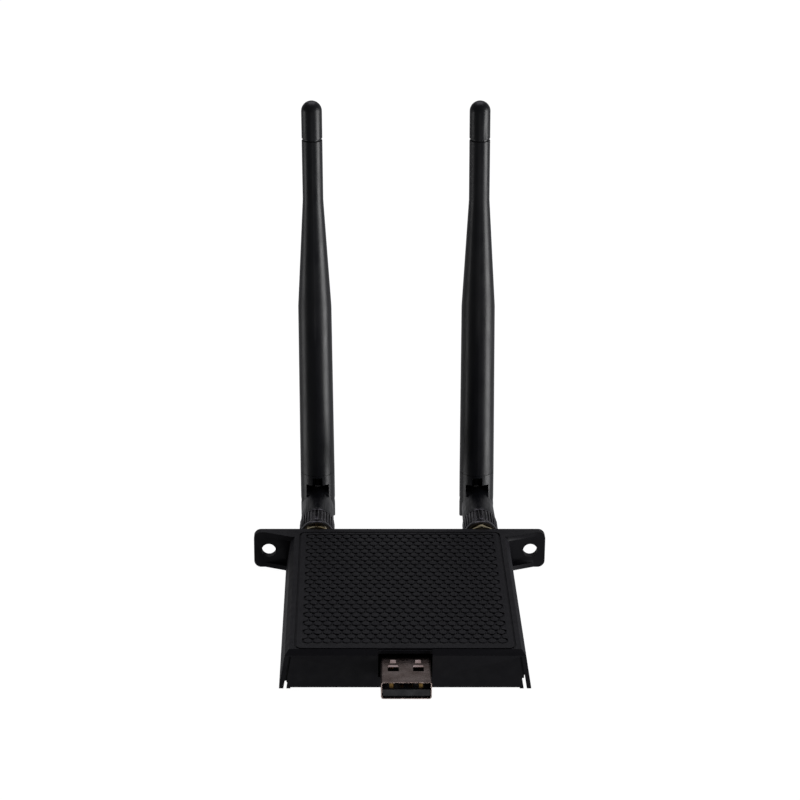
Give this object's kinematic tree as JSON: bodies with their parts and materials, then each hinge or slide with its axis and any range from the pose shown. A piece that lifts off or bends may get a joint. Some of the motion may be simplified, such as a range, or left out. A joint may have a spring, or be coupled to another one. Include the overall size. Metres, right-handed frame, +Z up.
{
  "type": "usb wifi adapter",
  "caption": "Flat black wireless adapter with a USB plug in front, screw ears behind and jointed antennas that swivel and bend.",
  "frame": {"origin": "centre of the flat case's underside, at the middle of its width and of the run from front wall to rear plate", "axes": "+Z up out of the textured top, -Y out of the USB plug, +Y out of the antenna connectors, +X to the right seen from the plug"},
  "size_m": [0.0778, 0.1172, 0.1199],
  "materials": {
    "case_plastic": "fine spark-eroded moulding texture, charcoal black",
    "antenna_plastic": "satin moulded elastomer, charcoal black",
    "black_plated_brass": "black plated, semi-gloss",
    "nickel_plated_steel": "bright plating with a warm cast",
    "gold_plated_brass": "thin gold plating",
    "bare_brass": "plain drawn brass",
    "plated_steel": "tin and nickel plated sheet, dull",
    "black_screw_steel": "black zinc plated",
    "dark_nylon": "moulded glass-filled nylon",
    "circuit_laminate": "solder-masked glass laminate",
    "chip_epoxy": "moulded epoxy",
    "capacitor_ceramic": "fired ceramic",
    "white_ptfe": "turned fluoropolymer",
    "coax_jacket": "extruded fluoropolymer jacket"
  },
  "bodies": {
    "module": {"bottom_cover": "case_plastic", "case_screws": "black_screw_steel", "chip_capacitors": "capacitor_ceramic", "circuit_board": "circuit_laminate", "crystal": "plated_steel", "rf_shield": "plated_steel", "upper_housing": "case_plastic", "usb_contacts": "gold_plated_brass", "usb_insulator": "dark_nylon", "usb_shell": "plated_steel", "voltage_regulator": "chip_epoxy", "wifi_chip": "chip_epoxy", "left_coax_socket": "gold_plated_brass", "left_coax_clip": "gold_plated_brass", "left_coax_pigtail": "coax_jacket", "left_jack_shell": "gold_plated_brass", "left_jack_insulator": "white_ptfe", "left_jack_pin": "gold_plated_brass", "left_lock_washer": "nickel_plated_steel", "left_hex_nut": "nickel_plated_steel", "right_coax_socket": "gold_plated_brass", "right_coax_clip": "gold_plated_brass", "right_coax_pigtail": "coax_jacket", "right_jack_shell": "gold_plated_brass", "right_jack_insulator": "white_ptfe", "right_jack_pin": "gold_plated_brass", "right_lock_washer": "nickel_plated_steel", "right_hex_nut": "nickel_plated_steel"},
    "left_plug": {"left_antenna_plug": "gold_plated_brass", "left_plug_insulator": "white_ptfe", "left_plug_contact": "gold_plated_brass"},
    "left_nut": {"left_coupling_nut": "black_plated_brass"},
    "left_arm": {"left_elbow_arm": "antenna_plastic", "left_arm_cable": "coax_jacket"},
    "left_blade": {"left_hinge_pins": "nickel_plated_steel", "left_antenna_fork": "antenna_plastic", "left_antenna_sleeve": "antenna_plastic", "left_end_cap": "antenna_plastic", "left_blade_cable": "coax_jacket", "left_radiator_sleeve": "bare_brass", "left_radiator_whip": "bare_brass"},
    "right_plug": {"right_antenna_plug": "gold_plated_brass", "right_plug_insulator": "white_ptfe", "right_plug_contact": "gold_plated_brass"},
    "right_nut": {"right_coupling_nut": "black_plated_brass"},
    "right_arm": {"right_elbow_arm": "antenna_plastic", "right_arm_cable": "coax_jacket"},
    "right_blade": {"right_hinge_pins": "nickel_plated_steel", "right_antenna_fork": "antenna_plastic", "right_antenna_sleeve": "antenna_plastic", "right_end_cap": "antenna_plastic", "right_blade_cable": "coax_jacket", "right_radiator_sleeve": "bare_brass", "right_radiator_whip": "bare_brass"}
  },
  "joints": [
    {"name": "left_draw", "type": "slide", "parent": "module", "child": "left_plug", "axis": [0, 1, 0], "range_m": [0, 0.00494]},
    {"name": "left_nut_turn", "type": "hinge", "parent": "left_plug", "child": "left_nut", "pos_m": [-0.0222, 0.0436, 0.00575], "axis": [0, 1, 0], "range_deg": [0, 2520]},
    {"name": "left_swivel", "type": "hinge", "parent": "left_plug", "child": "left_arm", "pos_m": [-0.0222, 0.05, 0.00575], "axis": [0, 1, 0], "range_deg": [-180, 8]},
    {"name": "left_bend", "type": "hinge", "parent": "left_arm", "child": "left_blade", "pos_m": [-0.0222, 0.0652, 0.00575], "axis": [-0.9999, 0, -0.0108], "range_deg": [0, 90]},
    {"name": "right_draw", "type": "slide", "parent": "module", "child": "right_plug", "axis": [0, 1, 0], "range_m": [0, 0.00494]},
    {"name": "right_nut_turn", "type": "hinge", "parent": "right_plug", "child": "right_nut", "pos_m": [0.0222, 0.0436, 0.00575], "axis": [0, 1, 0], "range_deg": [0, 2520]},
    {"name": "right_swivel", "type": "hinge", "parent": "right_plug", "child": "right_arm", "pos_m": [0.0222, 0.05, 0.00575], "axis": [0, 1, 0], "range_deg": [-8, 180]},
    {"name": "right_bend", "type": "hinge", "parent": "right_arm", "child": "right_blade", "pos_m": [0.0222, 0.0652, 0.00575], "axis": [-0.9999, 0, -0.0108], "range_deg": [0, 90]}
  ],
  "couplings": [
    {"joint": "left_nut_turn", "follows": "left_draw", "rad_per_m": 8904.7},
    {"joint": "right_nut_turn", "follows": "right_draw", "rad_per_m": 8904.7}
  ]
}
